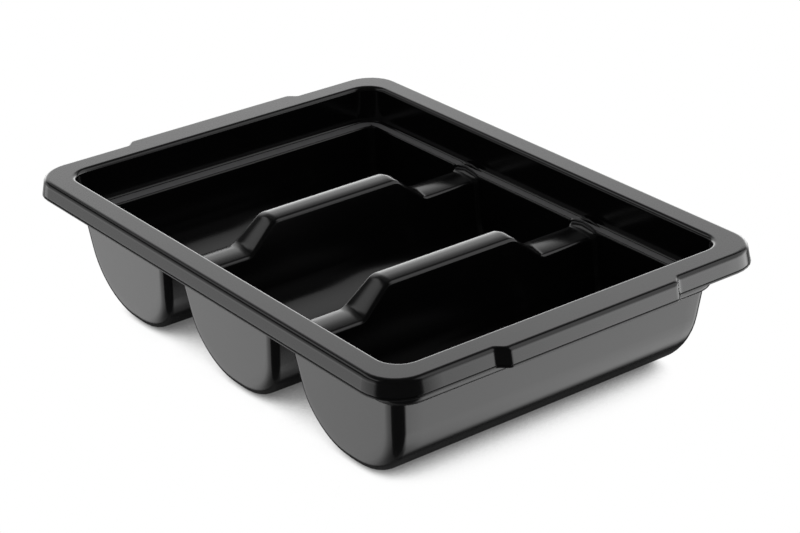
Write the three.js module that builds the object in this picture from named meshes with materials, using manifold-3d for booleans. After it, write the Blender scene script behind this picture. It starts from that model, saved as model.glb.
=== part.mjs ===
// Three-compartment cutlery tray, injection moulded in one piece of black
// plastic: a downturned rim with two finger grips, a plain collar, a narrow
// ledge, and three round-bottomed troughs parted by two humped dividers.
// Millimetres. X runs along the troughs, Y across them, Z up from the table.
// The origin is at the middle of the underside.
import * as THREE from "three";
import Module from "manifold-3d";
import { mergeVertices } from "three/addons/utils/BufferGeometryUtils.js";

// Whole tray
const height = 96;
const wall = 3;
const overrun = 1;

// Rim: flat flange, rounded edges and a skirt that turns down
const flangeAtEnds = 19;
const flangeAtSides = 19.5;
const flangeCornerRadius = 25;
const flangeEdgeRadius = 2.5;
const mouthEdgeRadius = 2.9;
const skirtDrop = 12.5;
const skirtFlare = 1.3;
const beadDrop = 1.6;
const beadProud = 0.8;
const beadRadius = 0.7;

// Grips: the rim bulges outwards in the middle of both long sides
const gripBulge = 5.3;
const gripLength = 139.5;
const gripShift = 2;
const gripRamp = 8;
const gripZoneMargin = 4;
const gripZoneDepth = 8;

// Collar between the rim and the ledge
const collarLength = 260;
const collarWidth = 373;
const collarCornerRadius = 15;
const collarDraft = 0.5;

// Ledge round the trough mouths
const ledgeDrop = 27.7;
const ledgeAtEnds = 7.9;
const ledgeAtSides = 10.3;
const mouthCornerRadius = 5.5;
const pocketWall = 5;
const pocketCornerRadius = 9;

// Troughs
const troughPitch = 126.4;
const troughSideAngle = 11;
const troughEndAngle = 3.5;
const pocketEndAngle = 5.5;
const troughOuterAngle = 8;
const footWidth = 6;
const innerCornerRadius = 3.5;
const bottomEndRadius = 10;

// Dividers: a low saddle at both ends and a long flat hump between
const dividerFootWidth = 26;
const saddleDrop = 34.2;
const humpDrop = 15.5;
const humpLength = 107;
const humpShift = 4;
const humpSlope = 40;
const humpBendRadius = 9;
const humpEdgeRadius = 2;
const saddleEdgeRadius = 3;
const dividerEndMargin = 4;

// Arc divisions
const cornerSteps = 8;
const bottomSteps = 9;
const endSteps = 4;
const rimSteps = 4;
const edgeSteps = 3;
const rampSteps = 6;
const bendSteps = 4;

// Levels and faces worked out from the sizes above
const flangeLength = collarLength + 2 * flangeAtEnds;
const flangeWidth = collarWidth + 2 * flangeAtSides;
const flangeUnder = height - wall;
const ledgeTop = height - ledgeDrop;
const ledgeUnder = ledgeTop - wall;
const saddleTop = height - saddleDrop;
const saddleUnder = saddleTop - wall;
const humpTop = height - humpDrop;
const pocketLength = collarLength - 2 * collarDraft - 2 * ledgeAtEnds;
const pocketWidth = collarWidth - 2 * collarDraft - 2 * ledgeAtSides;
const dividerCutX = pocketLength / 2 - dividerEndMargin;
const dividerCentres = [-troughPitch / 2, troughPitch / 2];

const radians = THREE.MathUtils.degToRad;
const sideSlope = Math.tan(radians(troughSideAngle));
const endSlope = Math.tan(radians(troughEndAngle));
const outerEndSlope = Math.tan(radians(pocketEndAngle));
const outerSlope = Math.tan(radians(troughOuterAngle));

const wasm = await Module();
wasm.setup();

// A closed BufferGeometry as a solid that can be joined and cut
function toSolid(geometry) {
  const shell = geometry.clone();
  shell.deleteAttribute("normal");
  shell.deleteAttribute("uv");
  const merged = mergeVertices(shell);
  return new wasm.Manifold(new wasm.Mesh({
    numProp: 3,
    vertProperties: new Float32Array(merged.attributes.position.array),
    triVerts: new Uint32Array(merged.index.array),
  }));
}

function boxSolid(low, high) {
  const size = high.clone().sub(low);
  const box = new THREE.BoxGeometry(size.x, size.y, size.z);
  box.translate((low.x + high.x) / 2, (low.y + high.y) / 2, (low.z + high.z) / 2);
  return toSolid(box);
}

// Triangles that close an outline; flat gives an outline point's two flat
// coordinates, and turned closes it to face the other way
function capFaces(outline, flat, first, turned) {
  const contour = outline.map(flat);
  return THREE.ShapeUtils.triangulateShape(contour, []).flatMap((face) => {
    const [a, b, c] = face.map((i) => contour[i]);
    const area = (b.x - a.x) * (c.y - a.y) - (c.x - a.x) * (b.y - a.y);
    const order = area > 0 === turned ? [face[0], face[2], face[1]] : face;
    return order.map((i) => i + first);
  });
}

// Joins outlines of equal point count, each anticlockwise as seen from where
// the loft is going, and closes it at both ends
function loft(outlines, flat) {
  const count = outlines[0].length;
  const index = [];
  for (let row = 0; row < outlines.length - 1; row += 1) {
    for (let i = 0; i < count; i += 1) {
      const a = row * count + i;
      const b = row * count + ((i + 1) % count);
      index.push(a, b, b + count, a, b + count, a + count);
    }
  }
  const last = outlines.length - 1;
  index.push(...capFaces(outlines[0], flat, 0, true));
  index.push(...capFaces(outlines[last], flat, last * count, false));
  const geometry = new THREE.BufferGeometry().setFromPoints(outlines.flat());
  geometry.setIndex(index);
  return toSolid(geometry);
}

const upright = (outlines) => loft(outlines, (p) => new THREE.Vector2(p.x, p.y));
const lengthwise = (outlines) => loft(outlines, (p) => new THREE.Vector2(p.y, p.z));

// Rounded rectangle at one level; a bulge pushes the grips out of its long
// sides along an S-shaped ramp
function rimOutline(halfX, halfY, radius, z, bulge) {
  const points = [];
  const ramp = Array.from({ length: rampSteps + 1 }, (_, i) => i / rampSteps);
  const arc = (cx, cy, start) => new THREE.EllipseCurve(
    cx, cy, radius, radius, start, start + Math.PI / 2,
  ).getPoints(cornerSteps).forEach((p) => points.push(new THREE.Vector3(p.x, p.y, z)));
  const grip = (side) => {
    const rise = ramp.map((share) => [share, bulge * (1 - Math.cos(Math.PI * share)) / 2]);
    const outer = gripLength / 2 + gripRamp / 2;
    const stops = rise.map(([share, out]) => [-outer + share * gripRamp, out]);
    const both = [...stops, ...stops.toReversed().map(([x, out]) => [-x, out])];
    both.forEach(([x, out]) => points.push(
      new THREE.Vector3(gripShift - side * x, side * (halfY + out), z),
    ));
  };
  arc(halfX - radius, halfY - radius, 0);
  if (bulge) grip(1);
  arc(radius - halfX, halfY - radius, Math.PI / 2);
  arc(radius - halfX, radius - halfY, Math.PI);
  if (bulge) grip(-1);
  arc(halfX - radius, radius - halfY, 1.5 * Math.PI);
  return points;
}

const plainOutline = (halfX, halfY, radius, z) => rimOutline(halfX, halfY, radius, z, 0);

// Flange outline moved inwards by inset
function flangeOutline(inset, z) {
  return rimOutline(
    flangeLength / 2 - inset, flangeWidth / 2 - inset, flangeCornerRadius - inset, z, gripBulge,
  );
}

function collarInside(inset, z) {
  return plainOutline(
    collarLength / 2 - inset, collarWidth / 2 - inset, collarCornerRadius - inset, z,
  );
}

// Rim: a flat ring with a rounded outer edge and a rounded edge to the mouth
function flangeSolid() {
  const quarter = Array.from({ length: rimSteps + 1 }, (_, i) => (Math.PI / 2) * (i / rimSteps));
  const outside = quarter.map((angle) => flangeOutline(
    flangeEdgeRadius * (1 - Math.cos(angle)),
    height - flangeEdgeRadius * (1 - Math.sin(angle)),
  ));
  const mouth = quarter.map((angle) => collarInside(
    -mouthEdgeRadius * (1 - Math.cos(angle)),
    height - mouthEdgeRadius * (1 - Math.sin(angle)),
  ));
  const plate = upright([flangeOutline(0, flangeUnder), ...outside]);
  const opening = upright([
    collarInside(0, flangeUnder - overrun),
    ...mouth,
    collarInside(-mouthEdgeRadius, height + overrun),
  ]);
  return plate.subtract(opening);
}

// Skirt: flares a little and ends in a small rounded bead
function skirtSolid() {
  const bottom = height - skirtDrop;
  const beadTop = bottom + beadDrop;
  const beadOut = skirtFlare + beadProud;
  const outside = upright([
    flangeOutline(beadRadius - beadOut, bottom),
    flangeOutline(-beadOut, bottom + beadRadius),
    flangeOutline(-beadOut, beadTop - beadRadius / 2),
    flangeOutline(-skirtFlare, beadTop),
    flangeOutline(0, flangeUnder),
  ]);
  const inside = upright([
    flangeOutline(wall - skirtFlare, bottom - overrun),
    flangeOutline(wall - skirtFlare, bottom),
    flangeOutline(wall, flangeUnder + overrun),
  ]);
  return outside.subtract(inside);
}

// Collar: a plain drafted wall from the ledge up to the flange
function collarSolid() {
  const outside = upright([
    collarInside(collarDraft - wall, ledgeTop),
    collarInside(-wall, flangeUnder),
  ]);
  const inside = upright([
    collarInside(collarDraft, ledgeTop - overrun),
    collarInside(collarDraft, ledgeTop),
    collarInside(0, flangeUnder),
    collarInside(0, flangeUnder + overrun),
  ]);
  return outside.subtract(inside);
}

// Half length and half width of the pocket that holds the troughs, and half
// length of its outside
const pocketHalfX = (z) => pocketLength / 2 - endSlope * (ledgeTop - z);
const pocketHalfY = (z) => pocketWidth / 2 - outerSlope * (ledgeTop - z);
const outerHalfX = (z) => (
  pocketHalfX(saddleUnder) + pocketWall - outerEndSlope * (saddleUnder - z)
);

// Half width of a divider at one level, on its upper faces
const dividerHalf = (z) => dividerFootWidth / 2 + sideSlope * (saddleTop - z);

// Height of a divider's top above a place along it: flat, a bend, a straight
// slope, a second bend and the flat saddle, which is at the height of low
function dividerTop(x, low) {
  const slope = radians(humpSlope);
  const reach = humpBendRadius * Math.tan(slope / 2);
  const upper = humpLength / 2;
  const lower = upper + (humpTop - low) / Math.tan(slope);
  const away = Math.abs(x - humpShift);
  const arcDrop = (run) => humpBendRadius - Math.sqrt(humpBendRadius ** 2 - run ** 2);
  if (away <= upper - reach) return humpTop;
  if (away <= upper + reach * Math.cos(slope)) return humpTop - arcDrop(away - upper + reach);
  if (away <= lower - reach * Math.cos(slope)) return humpTop - (away - upper) * Math.tan(slope);
  if (away <= lower + reach) return low + arcDrop(lower + reach - away);
  return low;
}

// Places along a divider where its top changes, from the middle outwards
function dividerStops(end, low) {
  const slope = radians(humpSlope);
  const reach = humpBendRadius * Math.tan(slope / 2);
  const span = reach * (1 + Math.cos(slope));
  const upper = humpLength / 2;
  const lower = upper + (humpTop - low) / Math.tan(slope);
  const bend = Array.from({ length: bendSteps + 1 }, (_, i) => i / bendSteps);
  const half = [
    ...bend.map((share) => upper - reach + share * span),
    ...bend.map((share) => lower - reach * Math.cos(slope) + share * span),
  ];
  return [
    -end,
    ...half.toReversed().map((x) => humpShift - x),
    ...half.map((x) => humpShift + x),
    end,
  ];
}

// Cross-section of a divider: drafted sides and a top with rounded edges.
// inset gives the hollow underside of the same divider
function dividerSection(x, centre, inset, low) {
  const top = dividerTop(x, low) - inset;
  const bottom = low - 2 * wall - overrun;
  const share = (dividerTop(x, low) - low) / (humpTop - low);
  const outerRadius = THREE.MathUtils.lerp(saddleEdgeRadius, humpEdgeRadius, share);
  const radius = Math.max(Math.min(outerRadius, wall) - inset, wall / 2);
  const sideInset = inset / Math.cos(radians(troughSideAngle));
  const turn = Math.PI / 2 - radians(troughSideAngle);
  const arcY = dividerHalf(top) - sideInset - radius * Math.tan(turn / 2);
  const half = [[dividerHalf(bottom) - sideInset, bottom]];
  for (let i = 0; i <= edgeSteps; i += 1) {
    const angle = radians(troughSideAngle) + turn * (i / edgeSteps);
    half.push([arcY + radius * Math.cos(angle), top - radius + radius * Math.sin(angle)]);
  }
  return [
    ...half.map(([y, z]) => new THREE.Vector3(x, centre + y, z)),
    ...half.toReversed().map(([y, z]) => new THREE.Vector3(x, centre - y, z)),
  ];
}

// A divider's body or, with an inset, the hollow under it
function dividerLoft(centre, inset, end, low) {
  return lengthwise(dividerStops(end, low).map((x) => dividerSection(x, centre, inset, low)));
}

// The space above the saddle's underside between two places along X
function zoneAbove(fromX, toX) {
  return boxSolid(
    new THREE.Vector3(Math.min(fromX, toX), -flangeWidth, saddleUnder),
    new THREE.Vector3(Math.max(fromX, toX), flangeWidth, 2 * height),
  );
}

function dividerSolid(centre) {
  const body = dividerLoft(centre, 0, dividerCutX + overrun, saddleTop);
  const hollow = dividerLoft(centre, wall, dividerCutX + 2 * overrun, saddleTop - overrun);
  return body.subtract(hollow).intersect(zoneAbove(-dividerCutX, dividerCutX));
}

// Ledge: a flat shelf with a rounded lower edge, the top of the pocket's wall
// below it, and the stubs that the dividers run out from
function ledgeSolid() {
  const rounding = Array.from({ length: edgeSteps + 1 }, (_, i) => (Math.PI / 2) * (i / edgeSteps));
  const shelf = upright(rounding.toReversed().map((angle) => collarInside(
    collarDraft - wall * Math.cos(angle),
    ledgeTop - wall * Math.sin(angle),
  )));
  const outside = [saddleUnder, ledgeTop].map((z) => plainOutline(
    outerHalfX(z), pocketHalfY(z) + pocketWall, pocketCornerRadius, z,
  ));
  const inside = [saddleUnder - overrun, ledgeTop + overrun].map((z) => plainOutline(
    pocketHalfX(z), pocketHalfY(z), mouthCornerRadius, z,
  ));
  const stubEnd = pocketHalfX(saddleUnder) + wall / 2;
  let ledge = shelf.add(upright(outside)).subtract(upright(inside));
  dividerCentres.forEach((centre) => {
    const stub = dividerLoft(centre, 0, stubEnd, saddleTop);
    ledge = ledge.add(stub.intersect(zoneAbove(-stubEnd, -dividerCutX)));
    ledge = ledge.add(stub.intersect(zoneAbove(dividerCutX, stubEnd)));
  });
  return ledge;
}

// Two kinds of trough side, each with its lean and, on the inside and on the
// outside of the wall, its corner radius at the end walls
const collarSide = {
  angle: radians(troughOuterAngle),
  thickness: pocketWall,
  innerCorner: mouthCornerRadius,
  outerCorner: pocketCornerRadius,
};
const dividerSide = {
  angle: radians(troughSideAngle),
  thickness: wall / Math.cos(radians(troughSideAngle)),
  innerCorner: innerCornerRadius,
  outerCorner: innerCornerRadius + wall,
};

// Each trough's two sides, with the place of the inner face at the level of
// the saddle's underside
const [frontDivider, backDivider] = dividerCentres;
const collarY = pocketHalfY(saddleUnder);
const besideDivider = dividerHalf(saddleUnder);
const troughs = {
  trough_front: [
    { ...collarSide, y: -collarY },
    { ...dividerSide, y: frontDivider - besideDivider },
  ],
  trough_middle: [
    { ...dividerSide, y: frontDivider + besideDivider },
    { ...dividerSide, y: backDivider - besideDivider },
  ],
  trough_back: [
    { ...dividerSide, y: backDivider + besideDivider },
    { ...collarSide, y: collarY },
  ],
};

// The two faces of a trough's wall
const innerFace = {
  floor: wall,
  halfX: pocketHalfX,
  endRadius: bottomEndRadius - wall,
  outwards: () => 0,
  corner: (side) => side.innerCorner,
};
const outerFace = {
  floor: 0,
  halfX: outerHalfX,
  endRadius: bottomEndRadius,
  outwards: (side) => side.thickness,
  corner: (side) => side.outerCorner,
};

// One side of a trough's section from its top edge down to the foot: a
// straight leaning side, then an arc that runs into the flat foot. The arc
// ends at the latest one wall below the saddle's underside
function troughSide(side, centre, top, face) {
  const { angle } = side;
  const sign = Math.sign(side.y - centre);
  const across = Math.abs(side.y - centre) + face.outwards(side);
  const out = across + (top - saddleUnder) * Math.tan(angle);
  const floorOut = across - (saddleUnder - face.floor) * Math.tan(angle);
  const longest = (saddleUnder - wall - face.floor) / Math.cos(angle);
  const tangent = Math.min(floorOut - footWidth / 2, longest);
  const radius = tangent / Math.tan((Math.PI / 2 - angle) / 2);
  const corner = face.corner(side);
  const edge = { sign, angle, out, z: top, corner, isTop: true };
  const arc = Array.from({ length: bottomSteps + 1 }, (_, i) => {
    const share = i / bottomSteps;
    const turned = THREE.MathUtils.lerp(angle, Math.PI / 2, share);
    return {
      sign,
      angle: turned,
      out: floorOut - tangent + radius * Math.cos(turned),
      z: face.floor + radius * (1 - Math.sin(turned)),
      corner: THREE.MathUtils.lerp(corner, face.endRadius, share),
      isTop: false,
    };
  });
  return [edge, ...arc];
}

// One face of a trough's wall as a body: the section carried along X and drawn
// in round the rounded edges of the end walls
function troughLoft([low, high], top, face) {
  const centre = (low.y + high.y) / 2;
  const profile = [
    ...troughSide(low, centre, top, face),
    ...troughSide(high, centre, top, face).toReversed(),
  ];
  const station = (end, turn) => profile.map((point) => {
    const drawnIn = point.corner * (1 - Math.cos(turn));
    const shift = point.isTop
      ? { out: drawnIn / Math.cos(point.angle), up: 0 }
      : { out: drawnIn * Math.cos(point.angle), up: drawnIn * Math.sin(point.angle) };
    const z = point.z + shift.up;
    const x = face.halfX(z) - point.corner * (1 - Math.sin(turn));
    return new THREE.Vector3(end * x, centre + point.sign * (point.out - shift.out), z);
  });
  const turns = Array.from({ length: endSteps + 1 }, (_, i) => (Math.PI / 2) * (i / endSteps));
  return lengthwise([
    ...turns.toReversed().map((turn) => station(-1, turn)),
    ...turns.map((turn) => station(1, turn)),
  ]);
}

function troughSolid(sides) {
  const outside = troughLoft(sides, saddleUnder, outerFace);
  const inside = troughLoft(sides, saddleUnder + overrun, innerFace);
  return outside.subtract(inside);
}

// The stretch of rim that a grip takes up, on the side given by sign
function gripZone(side) {
  const halfX = gripLength / 2 + gripRamp / 2 + gripZoneMargin;
  const near = side * (flangeWidth / 2 - gripZoneDepth);
  const far = side * flangeWidth;
  return boxSolid(
    new THREE.Vector3(gripShift - halfX, Math.min(near, far), 0),
    new THREE.Vector3(gripShift + halfX, Math.max(near, far), 2 * height),
  );
}

const flange = flangeSolid();
const skirt = skirtSolid();
const rim = flange.add(skirt);
const zones = { grip_front: gripZone(-1), grip_back: gripZone(1) };
const bothGrips = zones.grip_front.add(zones.grip_back);
const ends = skirt.subtract(bothGrips);
const leftHalf = boxSolid(
  new THREE.Vector3(-flangeLength, -flangeWidth, 0),
  new THREE.Vector3(0, flangeWidth, height),
);

const solids = {
  rim_flange: flange.subtract(bothGrips),
  skirt_left: ends.intersect(leftHalf),
  skirt_right: ends.subtract(leftHalf),
  grip_front: rim.intersect(zones.grip_front),
  grip_back: rim.intersect(zones.grip_back),
  collar: collarSolid(),
  ledge: ledgeSolid(),
  divider_front: dividerSolid(frontDivider),
  divider_back: dividerSolid(backDivider),
};
Object.entries(troughs).forEach(([name, sides]) => {
  solids[name] = troughSolid(sides);
});

const glossyBlack = { color: 0x0b0b0c, roughness: 0.22, metalness: 0 };

function toMesh([name, solid]) {
  const { vertProperties, triVerts } = solid.getMesh();
  const geometry = new THREE.BufferGeometry();
  geometry.setAttribute("position", new THREE.BufferAttribute(vertProperties, 3));
  geometry.setIndex(new THREE.BufferAttribute(triVerts, 1));
  geometry.computeVertexNormals();
  const mesh = new THREE.Mesh(geometry, new THREE.MeshStandardMaterial(glossyBlack));
  mesh.name = name;
  return mesh;
}

const tray = new THREE.Group();
tray.add(...Object.entries(solids).map(toMesh));

export default tray;
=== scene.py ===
# Three-compartment cutlery tray in glossy black plastic, on a pale studio floor
import bmesh
import bpy
import numpy as np
from mathutils import Matrix, Vector


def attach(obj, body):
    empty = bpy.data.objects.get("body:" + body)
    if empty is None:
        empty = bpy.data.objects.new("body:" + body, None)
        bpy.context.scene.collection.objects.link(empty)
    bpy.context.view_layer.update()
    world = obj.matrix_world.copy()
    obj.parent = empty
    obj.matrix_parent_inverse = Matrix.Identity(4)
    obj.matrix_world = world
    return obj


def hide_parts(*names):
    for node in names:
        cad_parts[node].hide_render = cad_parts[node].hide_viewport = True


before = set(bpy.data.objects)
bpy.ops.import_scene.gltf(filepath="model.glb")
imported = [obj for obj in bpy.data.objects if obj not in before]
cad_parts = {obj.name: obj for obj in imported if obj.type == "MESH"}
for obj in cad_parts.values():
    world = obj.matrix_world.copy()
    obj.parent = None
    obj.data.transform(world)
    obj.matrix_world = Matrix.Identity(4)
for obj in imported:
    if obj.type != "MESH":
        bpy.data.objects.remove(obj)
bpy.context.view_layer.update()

# Camera
# Placed at the photograph's viewpoint: position and angles were fitted to the
# rim, the dividers and the compartments. The frame is 800 by 533.
azimuth, elevation, roll = -0.63533, 0.44294, -0.03302
eye = Vector((-0.8268, -1.1403, 0.7200))
backward = Vector((
    np.sin(azimuth) * np.cos(elevation), -np.cos(azimuth) * np.cos(elevation), np.sin(elevation),
))
level = Vector((0, 0, 1)).cross(backward).normalized()
upward = backward.cross(level)
right = np.cos(roll) * level + np.sin(roll) * upward
above = np.cos(roll) * upward - np.sin(roll) * level
camera_data = bpy.data.cameras.new("camera")
camera_data.sensor_width = 36
camera_data.lens = 104.84
camera_data.clip_start = 0.05
camera_data.clip_end = 60
camera = bpy.data.objects.new("camera", camera_data)
camera.matrix_world = Matrix.Translation(eye) @ Matrix((right, above, backward)).transposed().to_4x4()
bpy.context.scene.collection.objects.link(camera)
bpy.context.scene.camera = camera
bpy.context.scene.view_settings.view_transform = "Standard"

# Studio
# A dark room with three lit sheets: behind the tray, to its right, and to its
# left with a second panel higher up. The plastic mirrors them; the camera sees
# plain white.
world = bpy.data.worlds.new("studio")
bpy.context.scene.world = world
world.use_nodes = True
nodes, links = world.node_tree.nodes, world.node_tree.links
nodes.clear()
place = nodes.new("ShaderNodeTexCoord")
flatten = nodes.new("ShaderNodeVectorMath")
flatten.operation = "MULTIPLY"
flatten.inputs[1].default_value = (1, 1, 0)
links.new(place.outputs["Generated"], flatten.inputs[0])
bearing = nodes.new("ShaderNodeVectorMath")
bearing.operation = "NORMALIZE"
links.new(flatten.outputs["Vector"], bearing.inputs[0])


def world_dot(vector, direction):
    """Dot product of a vector and a fixed direction."""
    dot = nodes.new("ShaderNodeVectorMath")
    dot.operation = "DOT_PRODUCT"
    dot.inputs[1].default_value = direction
    links.new(vector, dot.inputs[0])
    return dot.outputs["Value"]


def world_math(operation, a, b):
    """Product, larger one or the like of a value and another value or a number."""
    node = nodes.new("ShaderNodeMath")
    node.operation = operation
    links.new(a, node.inputs[0])
    if isinstance(b, (int, float)):
        node.inputs[1].default_value = b
    else:
        links.new(b, node.inputs[1])
    return node.outputs["Value"]


def world_steps(value, stops):
    """A value's level between stops, each a pair of a value and its level, joined by straight ramps."""
    ramp = nodes.new("ShaderNodeFloatCurve")
    points = ramp.mapping.curves[0].points
    reach = max(level for _, level in stops)
    for at, level in stops[1:-1]:
        points.new((at + 1) / 2, level / reach)
    points[0].location = ((stops[0][0] + 1) / 2, stops[0][1] / reach)
    points[len(points) - 1].location = ((stops[-1][0] + 1) / 2, stops[-1][1] / reach)
    for point in points:
        point.handle_type = "VECTOR"
    ramp.mapping.update()
    to_unit = nodes.new("ShaderNodeMapRange")
    to_unit.inputs["From Min"].default_value = -1
    links.new(value, to_unit.inputs["Value"])
    links.new(to_unit.outputs["Result"], ramp.inputs["Value"])
    return world_math("MULTIPLY", ramp.outputs["Value"], reach)


# Each sheet's direction, the cosines beside it at which it is full and gone,
# and its light for the sine of the height above the table. The brightest one
# of the sheets and the room counts.
rise = world_dot(place.outputs["Generated"], (0, 0, 1))
room_light = 0.03
light = room_light
for sheet_x, sheet_y, full, gone, levels in (
    (0.593, 0.805, 0.88, 0.66, (
        (-1, 0.08), (-0.64, 0.06), (-0.5, 0.08), (-0.42, 0.15), (-0.34, 0.5), (-0.2, 1.3), (-0.08, 3.0),
        (0.12, 3.6), (0.26, 2.0), (0.36, 1.35), (0.47, 1.3), (0.53, 0.8), (0.6, 0.4), (0.68, 0.15), (1, 0.08),
    )),
    (0.866, -0.5, 0.94, 0.809, (
        (-1, 0.1), (-0.94, 0.1), (-0.87, 0.6), (-0.82, 1.3), (-0.74, 1.9), (-0.62, 2.2), (-0.5, 2.25),
        (-0.34, 2.9), (-0.22, 3.4), (-0.05, 3.2), (0.1, 2.4), (0.3, 1.2), (0.77, 1.1), (0.9, 0.1), (1, 0.06),
    )),
    (-0.743, 0.669, 0.839, 0.743, (
        (-1, 0.12), (-0.94, 0.2), (-0.87, 0.35), (-0.77, 0.7), (-0.64, 1.05), (-0.5, 1.4), (-0.34, 1.7),
        (-0.17, 0.8), (0.2, 0.5), (0.34, 0.04), (0.5, 0.05), (0.56, 0.9), (0.68, 1.0), (0.76, 0.1),
        (1, 0.03),
    )),
):
    beside = world_dot(bearing.outputs["Vector"], (sheet_x, sheet_y, 0))
    window = world_steps(beside, ((-1, 0), (gone, 0), (full, 1), (1, 1)))
    sheet_light = world_math("MULTIPLY", window, world_steps(rise, levels))
    light = world_math("MAXIMUM", sheet_light, light)
tent = nodes.new("ShaderNodeBackground")
tent.inputs["Color"].default_value = (1, 1, 1, 1)
links.new(light, tent.inputs["Strength"])
white = nodes.new("ShaderNodeBackground")
white.inputs["Color"].default_value = (1, 1, 1, 1)
seen = nodes.new("ShaderNodeLightPath")
choose = nodes.new("ShaderNodeMixShader")
links.new(seen.outputs["Is Glossy Ray"], choose.inputs["Fac"])
links.new(white.outputs[0], choose.inputs[1])
links.new(tent.outputs[0], choose.inputs[2])
output = nodes.new("ShaderNodeOutputWorld")
links.new(choose.outputs[0], output.inputs["Surface"])

# Floor
# The white sheet on the light table: plain white with the tray's soft contact
# shadow. The plastic mirrors the light below it, dimmed by the same shadow.
floor_half, floor_drop = 9, 0.0002
floor_mesh = bpy.data.meshes.new("floor")
floor_corners = np.array(((-1, -1, 0), (1, -1, 0), (1, 1, 0), (-1, 1, 0))) * floor_half
floor_mesh.from_pydata(floor_corners, [], [(0, 1, 2, 3)])
floor = bpy.data.objects.new("floor", floor_mesh)
floor.location.z = -floor_drop
bpy.context.scene.collection.objects.link(floor)
sheet = bpy.data.materials.new("white_sheet")
sheet.use_nodes = True
nodes, links = sheet.node_tree.nodes, sheet.node_tree.links
nodes.clear()
cover = nodes.new("ShaderNodeAmbientOcclusion")
cover.samples = 16
cover.inputs["Distance"].default_value = 0.08
shade = nodes.new("ShaderNodeMapRange")
shade.interpolation_type = "SMOOTHSTEP"
shade.inputs["From Min"].default_value = 0.05
shade.inputs["From Max"].default_value = 0.45
shade.inputs["To Min"].default_value = 0.1
links.new(cover.outputs["AO"], shade.inputs["Value"])
lit = nodes.new("ShaderNodeEmission")
links.new(shade.outputs["Result"], lit.inputs["Strength"])
lit.inputs["Color"].default_value = (1, 1, 1, 1)
clear = nodes.new("ShaderNodeBsdfTransparent")
links.new(shade.outputs["Result"], clear.inputs["Color"])
seen = nodes.new("ShaderNodeLightPath")
choose = nodes.new("ShaderNodeMixShader")
links.new(seen.outputs["Is Glossy Ray"], choose.inputs["Fac"])
links.new(lit.outputs[0], choose.inputs[1])
links.new(clear.outputs[0], choose.inputs[2])
output = nodes.new("ShaderNodeOutputMaterial")
links.new(choose.outputs[0], output.inputs["Surface"])
floor_mesh.materials.append(sheet)

# Tray
# One injection moulding in glossy black plastic. The rim, its two grips, the
# collar, the ledge, the dividers and the round-bottomed compartments run into
# each other with rounded edges. Sizes in millimetres.
wall, pocket_wall = 3.0, 5.0
rim_z, ledge_z = 96.0, 68.3
pocket_x, pocket_y, foot_half = 121.6, 175.7, 3.0
end_lean, outer_end_lean = np.radians((3.5, 5.5))

# Dividers: middle line and half width at their sides' height ridge_z, the
# roundings of the top's edges and of the hollow's, and the top's crown
ridge_y, ridge_half, ridge_z = 63.2, 13.0, 61.8
ridge_edge, hollow_edge = 2.4, 1.5
ridge_crown, crown_depth = 20.0, 2.5
crown_low, crown_full, crown_out, crown_gone = 20, 50, 20, 40
saddle_z, hump_z, saddle_under = 65.8, 83.7, ridge_z - wall
hump_half, hump_shift, hump_slope, hump_bend = 51.4, 2.0, np.radians(40.0), 9.0

# Rim, ledge and collar: roundings, grips, hanging edge with its bead, and the
# outlines as half length, half width and the corner's two radii
ledge_edge, collar_foot, mouth_round, brim_round = 1.5, 1.8, 3.1, 3.4
shelf_round, hollow_round, collar_heel, pocket_heel = 6.0, 4.0, 1.5, 1.0
grip_bulge, grip_half, grip_ramp, grip_shift = 5.3, 69.75, 8.0, 2.0
skirt_flare, skirt_z = 1.2, 86.1
bead_top, bead_nose, bead_heel = (0.7, 85.5, 0.6), (1.0, 84.2, 0.8), (-1.0, 84.1, 0.7)
shelf = (129.5, 186.0, 14.5, 14.5)
throat = (130.0, 186.5, 15.0, 15.0)
shelf_back = (129.5, 186.0, 18.0, 18.0)
throat_back = (130.0, 186.5, 18.5, 18.5)
brim = (149.0, 206.0, 25.0, 25.0)

# The wall's inner and outer face: lean of the six upright lines of the section,
# and distance out from the inner face and end radius of all its eleven lines
inner_face = {
    "lean": np.radians((7.5, 9.5, 9.5, 9.5, 9.5, 7.5)),
    "deep": np.zeros(11),
    "ends": np.array((5.5, 7.0, 3.5, 5.5, 3.5, 7.0, 3.5, 5.5, 3.5, 7.0, 5.5)),
}
outer_face = {
    "lean": np.radians((8.0, 10.5, 10.5, 10.5, 10.5, 8.0)),
    "deep": np.array((pocket_wall, *[wall] * 9, pocket_wall)),
    "ends": np.array((9.0, 10.0, 6.5, 8.5, 6.5, 10.0, 6.5, 8.5, 6.5, 10.0, 9.0)),
}


def ridge_top(x):
    """Height of a divider along its length: flat hump, circular bend, straight slope, bend, saddle."""
    away = np.abs(x - hump_shift)
    reach = hump_bend * np.tan(hump_slope / 2)
    foot = hump_half + (hump_z - saddle_z) / np.tan(hump_slope)
    line = hump_z - (away - hump_half) * np.tan(hump_slope)
    run = np.clip(away - hump_half + reach, 0, hump_bend * np.sin(hump_slope))
    upper = hump_z - (hump_bend - np.sqrt(hump_bend ** 2 - run ** 2))
    run = np.clip(foot + reach - away, 0, hump_bend * np.sin(hump_slope))
    lower = saddle_z + hump_bend - np.sqrt(hump_bend ** 2 - run ** 2)
    top = np.where(away < hump_half + reach * np.cos(hump_slope), upper, line)
    return np.where(away > foot - reach * np.cos(hump_slope), lower, top)


def end_x(z, face):
    """Half length of the compartments at a height: the end walls lean, on the outside a little more."""
    if face is inner_face:
        return pocket_x - np.tan(end_lean) * (ledge_z - z)
    middle = pocket_x - np.tan(end_lean) * (ledge_z - saddle_under)
    return middle + pocket_wall - np.tan(outer_end_lean) * (saddle_under - z)


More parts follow.
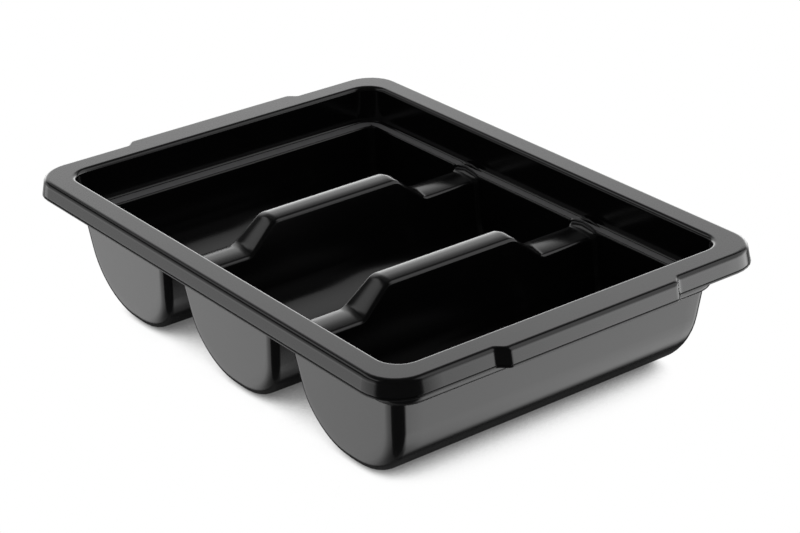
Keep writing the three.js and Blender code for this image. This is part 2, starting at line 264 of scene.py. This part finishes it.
# Steps of a floor's and an edge's arc, points on an upright and on a level
# line, and how near a line's outer points stay to the arcs beside it
floor_steps, edge_steps, side_points, flat_points, held = 12, 10, 5, 3, 0.6


def section(ridge, drawn, face, top):
    """Cross-section at each station: eleven straight lines from one long side of the mouth over three floors
    and two dividers to the other, joined by arcs. A line n . p = c moves out by its depth and, at the rounded
    ends, in by drawn times its end radius. A floor's arc has the radius tangent length over tan(half the
    turn), a divider's edge its own one. Returns the points across and up, and each point's end radius."""
    deep, ends, lean = face["deep"], face["ends"], face["lean"]
    outer_lean, side_lean = lean[:2]
    at_floor = ridge_half + np.tan(side_lean) * ridge_z
    mouth_y = pocket_y - np.tan(outer_lean) * ledge_z
    start_y = np.array((
        -mouth_y, -ridge_y - at_floor, -ridge_y + at_floor, ridge_y - at_floor, ridge_y + at_floor, mouth_y,
    ))
    turn = np.array((1, -1, 1, -1, 1, -1))
    normals = np.zeros((11, 2))
    normals[:, 1] = 1
    normals[0::2] = np.stack((turn * np.cos(lean), np.sin(lean)), -1)
    level = np.zeros((11, len(ridge)))
    level[0::2] = (normals[0::2, 0] * start_y)[:, None]
    level[1::4] = wall
    level[3::4] = ridge
    flat = level - deep[:, None]
    level = flat + drawn * ends[:, None]

    def crossing(level, i):
        a, b = normals[i], normals[i + 1]
        det = a[0] * b[1] - a[1] * b[0]
        y = level[i] * b[1] - level[i + 1] * a[1]
        z = level[i + 1] * a[0] - level[i] * b[0]
        return np.stack((y, z), -1) / det

    def at_top(i):
        n = normals[i]
        return np.stack(((level[i] - n[1] * top) / n[0], top + 0 * level[i]), -1)

    widening = (np.tan(outer_lean) - np.tan(side_lean)) * saddle_under
    outer_centre = (start_y[4] + mouth_y + widening) / 2
    centres = np.array((-outer_centre, 0, outer_centre))
    corners = [at_top(0), *(crossing(level, i) for i in range(10)), at_top(10)]
    points, end_radius = [corners[0][:, None]], [ends[:1]]
    previous = corners[0]
    for k in range(11):
        corner, following = corners[k + 1], corners[min(k + 2, 11)]
        into = corner - corners[k]
        into = into / np.linalg.norm(into, axis=-1, keepdims=True)
        if k < 10:
            out = following - corner
            out = out / np.linalg.norm(out, axis=-1, keepdims=True)
            turned = np.arccos(np.clip((into * out).sum(-1), -1, 1))
            mean = drawn * (ends[k] + ends[k + 1]) / 2
            if k % 4 in (2, 3):
                steps, r = edge_steps, max(ridge_edge - deep[k], hollow_edge) + mean
            else:
                foot = np.abs(crossing(flat, k)[:, 0] - centres[(k + 1) // 4]) - foot_half
                steps, r = floor_steps, foot / np.tan(turned / 2) - mean
            tangent = (r * np.tan(turned / 2))[:, None]
            start, stop = corner - into * tangent, corner + out * tangent
        else:
            start = corner
        length = np.linalg.norm(start - previous, axis=-1)[:, None, None]
        hold = np.minimum(held, length / 4)
        along = np.linspace(0, 1, flat_points if k % 2 else side_points)[None, :, None]
        ahead = (start - previous)[:, None, :] / np.maximum(length, 1e-6)
        points.append(previous[:, None, :] + ahead * (hold + (length - 2 * hold) * along))
        end_radius.append(np.full(along.size, ends[k]))
        if k < 10:
            side = np.sign(into[:, :1] * out[:, 1:] - into[:, 1:] * out[:, :1])
            left = np.stack((-into[:, 1], into[:, 0]), -1) * side
            angle = turned[:, None] * np.linspace(0, 1, steps + 1)
            ahead, aside = np.sin(angle)[..., None], (1 - np.cos(angle))[..., None]
            bow = ahead * into[:, None, :] + aside * left[:, None, :]
            points.append(start[:, None, :] + r[:, None, None] * bow)
            end_radius.append(np.linspace(ends[k], ends[k + 1], steps + 1))
            previous = stop
    points.append(corners[11][:, None])
    end_radius.append(ends[10:])
    return np.concatenate(points, 1), np.concatenate(end_radius)


def crown(y, z):
    """How far a divider's top falls away from its middle line: c (1 - exp(-d d / 2 r c)), which is a circle
    of radius r near the middle. It fades out down the sides."""
    away = np.abs(np.abs(y) - ridge_y)
    fall = crown_depth * (1 - np.exp(-away ** 2 / (2 * ridge_crown * crown_depth)))
    by_height = np.clip((z - crown_low) / (crown_full - crown_low), 0, 1)
    return fall * by_height * np.clip((crown_gone - away) / (crown_gone - crown_out), 0, 1)


# Stations lie close together where the hump bends and slopes
bends_from, bends_to, last_station = 46, 79, 105
turns = np.linspace(0, np.pi / 2, 9)
half_stations = np.concatenate((
    np.linspace(0, bends_from, 6)[:-1], np.linspace(bends_from, bends_to, 31),
    np.linspace(bends_to, last_station, 5)[1:],
))
stations = hump_shift + np.concatenate((-half_stations[:0:-1], half_stations))


def cavity(face, top):
    """The compartments as a grid of stations along X by points across: straight stations, then the rounded
    ends, where the section is drawn in by r (1 - cos t) while x falls short of the end by r (1 - sin t).
    The dividers' crown is taken off the height."""
    straight, end_radius = section(ridge_top(stations), 0 * stations, face, top)
    bent, _ = section(np.full(turns.shape, saddle_z), 1 - np.cos(turns), face, top)
    for part in (straight, bent):
        part[..., 1] -= crown(part[..., 0], part[..., 1])
    x_straight = np.broadcast_to(stations[:, None], straight.shape[:2])
    x_bent = end_x(bent[..., 1], face) - end_radius * (1 - np.sin(turns))[:, None]
    x = np.concatenate((-x_bent[::-1], x_straight, x_bent))
    y, z = np.moveaxis(np.concatenate((bent[::-1], straight, bent)), -1, 0)
    return np.stack((x, y, z), -1)


wall_rows = 9


def end_wall(edge, face, top):
    """The flat end of the compartments: lines from the rounded edge's last row up to the mouth's straight
    side, whose points are spread over the width by their distance along the edge."""
    y, z = edge[:, 1], edge[:, 2]
    run = np.concatenate(([0], np.cumsum(np.hypot(np.diff(y), np.diff(z)))))
    beside = [np.argmin(np.abs(y - c - s * ridge_half)) for c in (-ridge_y, ridge_y) for s in (-1, 1)]
    knots = [0, *sorted(beside), len(y) - 1]
    spread = y.copy()
    for a, b in zip(knots[0::2], knots[1::2]):
        spread[a:b + 1] = y[a] + (y[b] - y[a]) * (run[a:b + 1] - run[a]) / (run[b] - run[a])
    t = np.linspace(0, 1, wall_rows)[:, None]
    rows_z = z + (top - z) * t
    return np.stack((np.sign(edge[:, 0]) * end_x(rows_z, face), y + (spread - y) * t, rows_z), -1)


def grip(x):
    """How far the grips stand out along the rim: b (1 - cos(pi s)) / 2 over the ramp at each end."""
    share = np.clip((grip_half + grip_ramp / 2 - np.abs(x - grip_shift)) / grip_ramp, 0, 1)
    return grip_bulge * (1 - np.cos(np.pi * share)) / 2


def arc(base, across, up, radius, start, stop, steps, share=0.0):
    """Levels of an arc round a point that lies across and up from an outline. A level is half length, half
    width, the corner's two radii, height and the share of the grips."""
    angle = np.radians(np.linspace(start, stop, steps + 1))
    out = across + radius * np.cos(angle)
    levels = np.array(base)[None, :] + out[:, None]
    return np.column_stack((levels, up + radius * np.sin(angle), np.full(steps + 1, share)))


rim_held = 0.5


def between(first, last, steps):
    """Levels between two others, evenly spread, the outer ones near them."""
    length = np.linalg.norm((last - first)[[0, 4]])
    hold = min(rim_held, length / 4) / max(length, 1e-6)
    share = hold + (1 - 2 * hold) * np.linspace(0, 1, steps)
    return first + (last - first) * share[:, None]


inner_top, outer_top = ledge_z - ledge_edge, ledge_z - wall - pocket_heel
inside, outside = cavity(inner_face, inner_top), cavity(outer_face, outer_top)
outlines = []
for grid, face in ((inside, inner_face), (outside, outer_face)):
    corner = face["ends"][0]
    outlines.append((grid[:, 0, 0].max(), -grid[len(turns), 0, 1], corner, corner / np.cos(face["lean"][0])))

# The section of everything above the mouth, swept round the tray: up the
# collar, over the rim, down its hanging edge, round the bead and back outside
profile = arc(outlines[0], ledge_edge, inner_top, ledge_edge, 180, 90, 5)
skirt_foot = (*(half + skirt_flare for half in brim), skirt_z, 1.0)
hollow_z, heel_z = rim_z - wall - hollow_round, rim_z - wall - collar_heel
for steps, levels in (
    (2, arc(shelf, -collar_foot, ledge_z + collar_foot, collar_foot, -90, 0, 5)),
    (3, arc(throat, mouth_round, rim_z - mouth_round, mouth_round, 180, 90, 8)),
    (3, arc(brim, -brim_round, rim_z - brim_round, brim_round, 90, 0, 8, 1)),
    (3, np.array([skirt_foot])),
    (2, arc(brim, *bead_top, 0, -70, 3, 1)),
    (2, arc(brim, *bead_nose, 70, -90, 8, 1)),
    (2, arc(brim, *bead_heel, -90, -180, 3, 1)),
    (3, arc(brim, -wall - hollow_round, hollow_z, hollow_round, 0, 90, 6, 1)),
    (3, arc(throat_back, wall + collar_heel, heel_z, collar_heel, 90, 180, 4)),
    (3, arc(shelf_back, wall - shelf_round, ledge_z - wall + shelf_round, shelf_round, 0, -90, 8)),
    (3, arc(outlines[1], pocket_heel, outer_top, pocket_heel, 90, 180, 4)),
):
    profile = np.concatenate((profile, between(profile[-1], levels[0], steps), levels))


def mouth_loop(grid, ends, outline):
    """The mouth's outline as one closed row of points: a side, an end, the other side and the other end. Each
    has its place along and across the straight parts and its sine and cosine in a corner."""
    rows, bends = len(grid), len(turns)
    along = grid[:, 0, 0] / (outline[0] - outline[2])
    turn = np.concatenate((turns[::-1], 0 * stations, turns))
    straight = np.concatenate((np.zeros(bends), np.ones(len(stations)), np.zeros(bends)))
    sign = np.concatenate((-np.ones(bends), 0 * stations, np.ones(bends)))
    side = np.stack((
        along * straight, sign * (1 - straight), np.sin(turn), 0 * turn, np.ones(rows), np.cos(turn),
    ), -1)
    loop = []
    for end, way in ((-1, 1), (1, -1)):
        row = side[::way].copy()
        row[:, 4] = end
        loop.append(row)
        across = ends[(way + 1) // 2][-1, 1:-1, 1][::way] / (outline[1] - outline[3])
        none, one = 0 * across, 0 * across + 1
        loop.append(np.stack((none, way * one, one, across, none, none), -1))
    return np.concatenate(loop)


def ring(loop, levels):
    """The levels swept round the tray. On a side x is a share of the straight length; in a corner
    x = half - r (1 - sin t) and y = half - r (1 - cos t); on an end y is a share of the straight width."""
    share_x, sign_x, sine, share_y, sign_y, cosine = loop.T
    half_x, half_y, round_x, round_y, z, share = levels.T[:, :, None]
    x = share_x * (half_x - round_x) + sign_x * (half_x - round_x * (1 - sine))
    y = sign_y * (half_y - round_y * (1 - cosine)) + share_y * (half_y - round_y)
    y = y + np.where(sign_x == 0, sign_y * share * grip(x), 0)
    return np.stack((x, y, z + 0 * x), -1)


def grid_faces(patch, first, closed):
    """Quads of a grid of points, closed round its columns or not."""
    rows, columns = patch.shape[:2]
    r = np.arange(rows - 1)[:, None]
    c = np.arange(columns if closed else columns - 1)[None, :]
    n = (c + 1) % columns
    corners = (r * columns + c, r * columns + n, (r + 1) * columns + n, (r + 1) * columns + c)
    return first + np.stack(corners, -1).reshape(-1, 4)


inner_ends = [end_wall(inside[i], inner_face, inner_top) for i in (0, -1)]
outer_ends = [end_wall(outside[i], outer_face, outer_top) for i in (0, -1)]
from_inside = ring(mouth_loop(inside, inner_ends, outlines[0]), profile)
from_outside = ring(mouth_loop(outside, outer_ends, outlines[1]), profile)

# The swept part's points pass from the inner mouth's spacing to the outer one's
passed = np.clip(np.linspace(-0.6, 1, len(profile)), 0, 1)[:, None, None]
swept = from_inside + (from_outside - from_inside) * passed
points, faces, first = [], [], 0
for patch in (inside, outside, *inner_ends, *outer_ends, swept):
    points.append(patch.reshape(-1, 3))
    faces.append(grid_faces(patch, first, patch is swept))
    first += len(points[-1])
metres, weld_gap = 0.001, 2e-6
tray_mesh = bpy.data.meshes.new("tray")
tray_mesh.from_pydata(np.concatenate(points) * metres, [], np.concatenate(faces))
weld = bmesh.new()
weld.from_mesh(tray_mesh)
bmesh.ops.remove_doubles(weld, verts=weld.verts, dist=weld_gap)
bmesh.ops.recalc_face_normals(weld, faces=weld.faces)
weld.to_mesh(tray_mesh)
weld.free()
tray_mesh.shade_smooth()
tray = bpy.data.objects.new("tray", tray_mesh)
bpy.context.scene.collection.objects.link(tray)

# The ledge is fine-grained, the rest is polished
ledge_slack, mouth_slack = 0.03, 0.3
spots = np.empty(3 * len(tray_mesh.vertices))
tray_mesh.vertices.foreach_get("co", spots)
x, y, z = np.abs(spots.reshape(-1, 3).T / metres)
outside_mouth = np.maximum(x - pocket_x, y - pocket_y) > mouth_slack
on_ledge = (np.abs(z - ledge_z) < ledge_slack) & outside_mouth
tray_mesh.attributes.new("ledge", "FLOAT", "POINT").data.foreach_set("value", on_ledge.astype(float))

black, ledge_black = (0.0012, 0.0012, 0.0013, 1), (0.085, 0.085, 0.087, 1)
polished, less_polished, ledge_dull = 0.13, 0.18, 0.6
plastic = bpy.data.materials.new("black_plastic")
plastic.use_nodes = True
nodes, links = plastic.node_tree.nodes, plastic.node_tree.links
shader = nodes["Principled BSDF"]
shader.inputs["IOR"].default_value = 1.52
grained = nodes.new("ShaderNodeAttribute")
grained.attribute_name = "ledge"
tone = nodes.new("ShaderNodeMix")
tone.data_type = "RGBA"
tone.inputs["A"].default_value = black
tone.inputs["B"].default_value = ledge_black
links.new(grained.outputs["Fac"], tone.inputs["Factor"])
links.new(tone.outputs["Result"], shader.inputs["Base Color"])
place = nodes.new("ShaderNodeTexCoord")
clouds = nodes.new("ShaderNodeTexNoise")
clouds.inputs["Scale"].default_value = 38
clouds.inputs["Detail"].default_value = 4
links.new(place.outputs["Object"], clouds.inputs["Vector"])
polish = nodes.new("ShaderNodeMapRange")
polish.inputs["To Min"].default_value = polished
polish.inputs["To Max"].default_value = less_polished
links.new(clouds.outputs["Fac"], polish.inputs["Value"])
dull = nodes.new("ShaderNodeMix")
dull.inputs["B"].default_value = ledge_dull
links.new(grained.outputs["Fac"], dull.inputs["Factor"])
links.new(polish.outputs["Result"], dull.inputs["A"])
links.new(dull.outputs["Result"], shader.inputs["Roughness"])
grain = nodes.new("ShaderNodeTexNoise")
grain.inputs["Scale"].default_value = 1400
grain.inputs["Detail"].default_value = 2
links.new(place.outputs["Object"], grain.inputs["Vector"])
bump = nodes.new("ShaderNodeBump")
bump.inputs["Strength"].default_value = 0.06
bump.inputs["Distance"].default_value = 0.0001
links.new(grain.outputs["Fac"], bump.inputs["Height"])
links.new(bump.outputs["Normal"], shader.inputs["Normal"])
tray_mesh.materials.append(plastic)
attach(tray, "root")
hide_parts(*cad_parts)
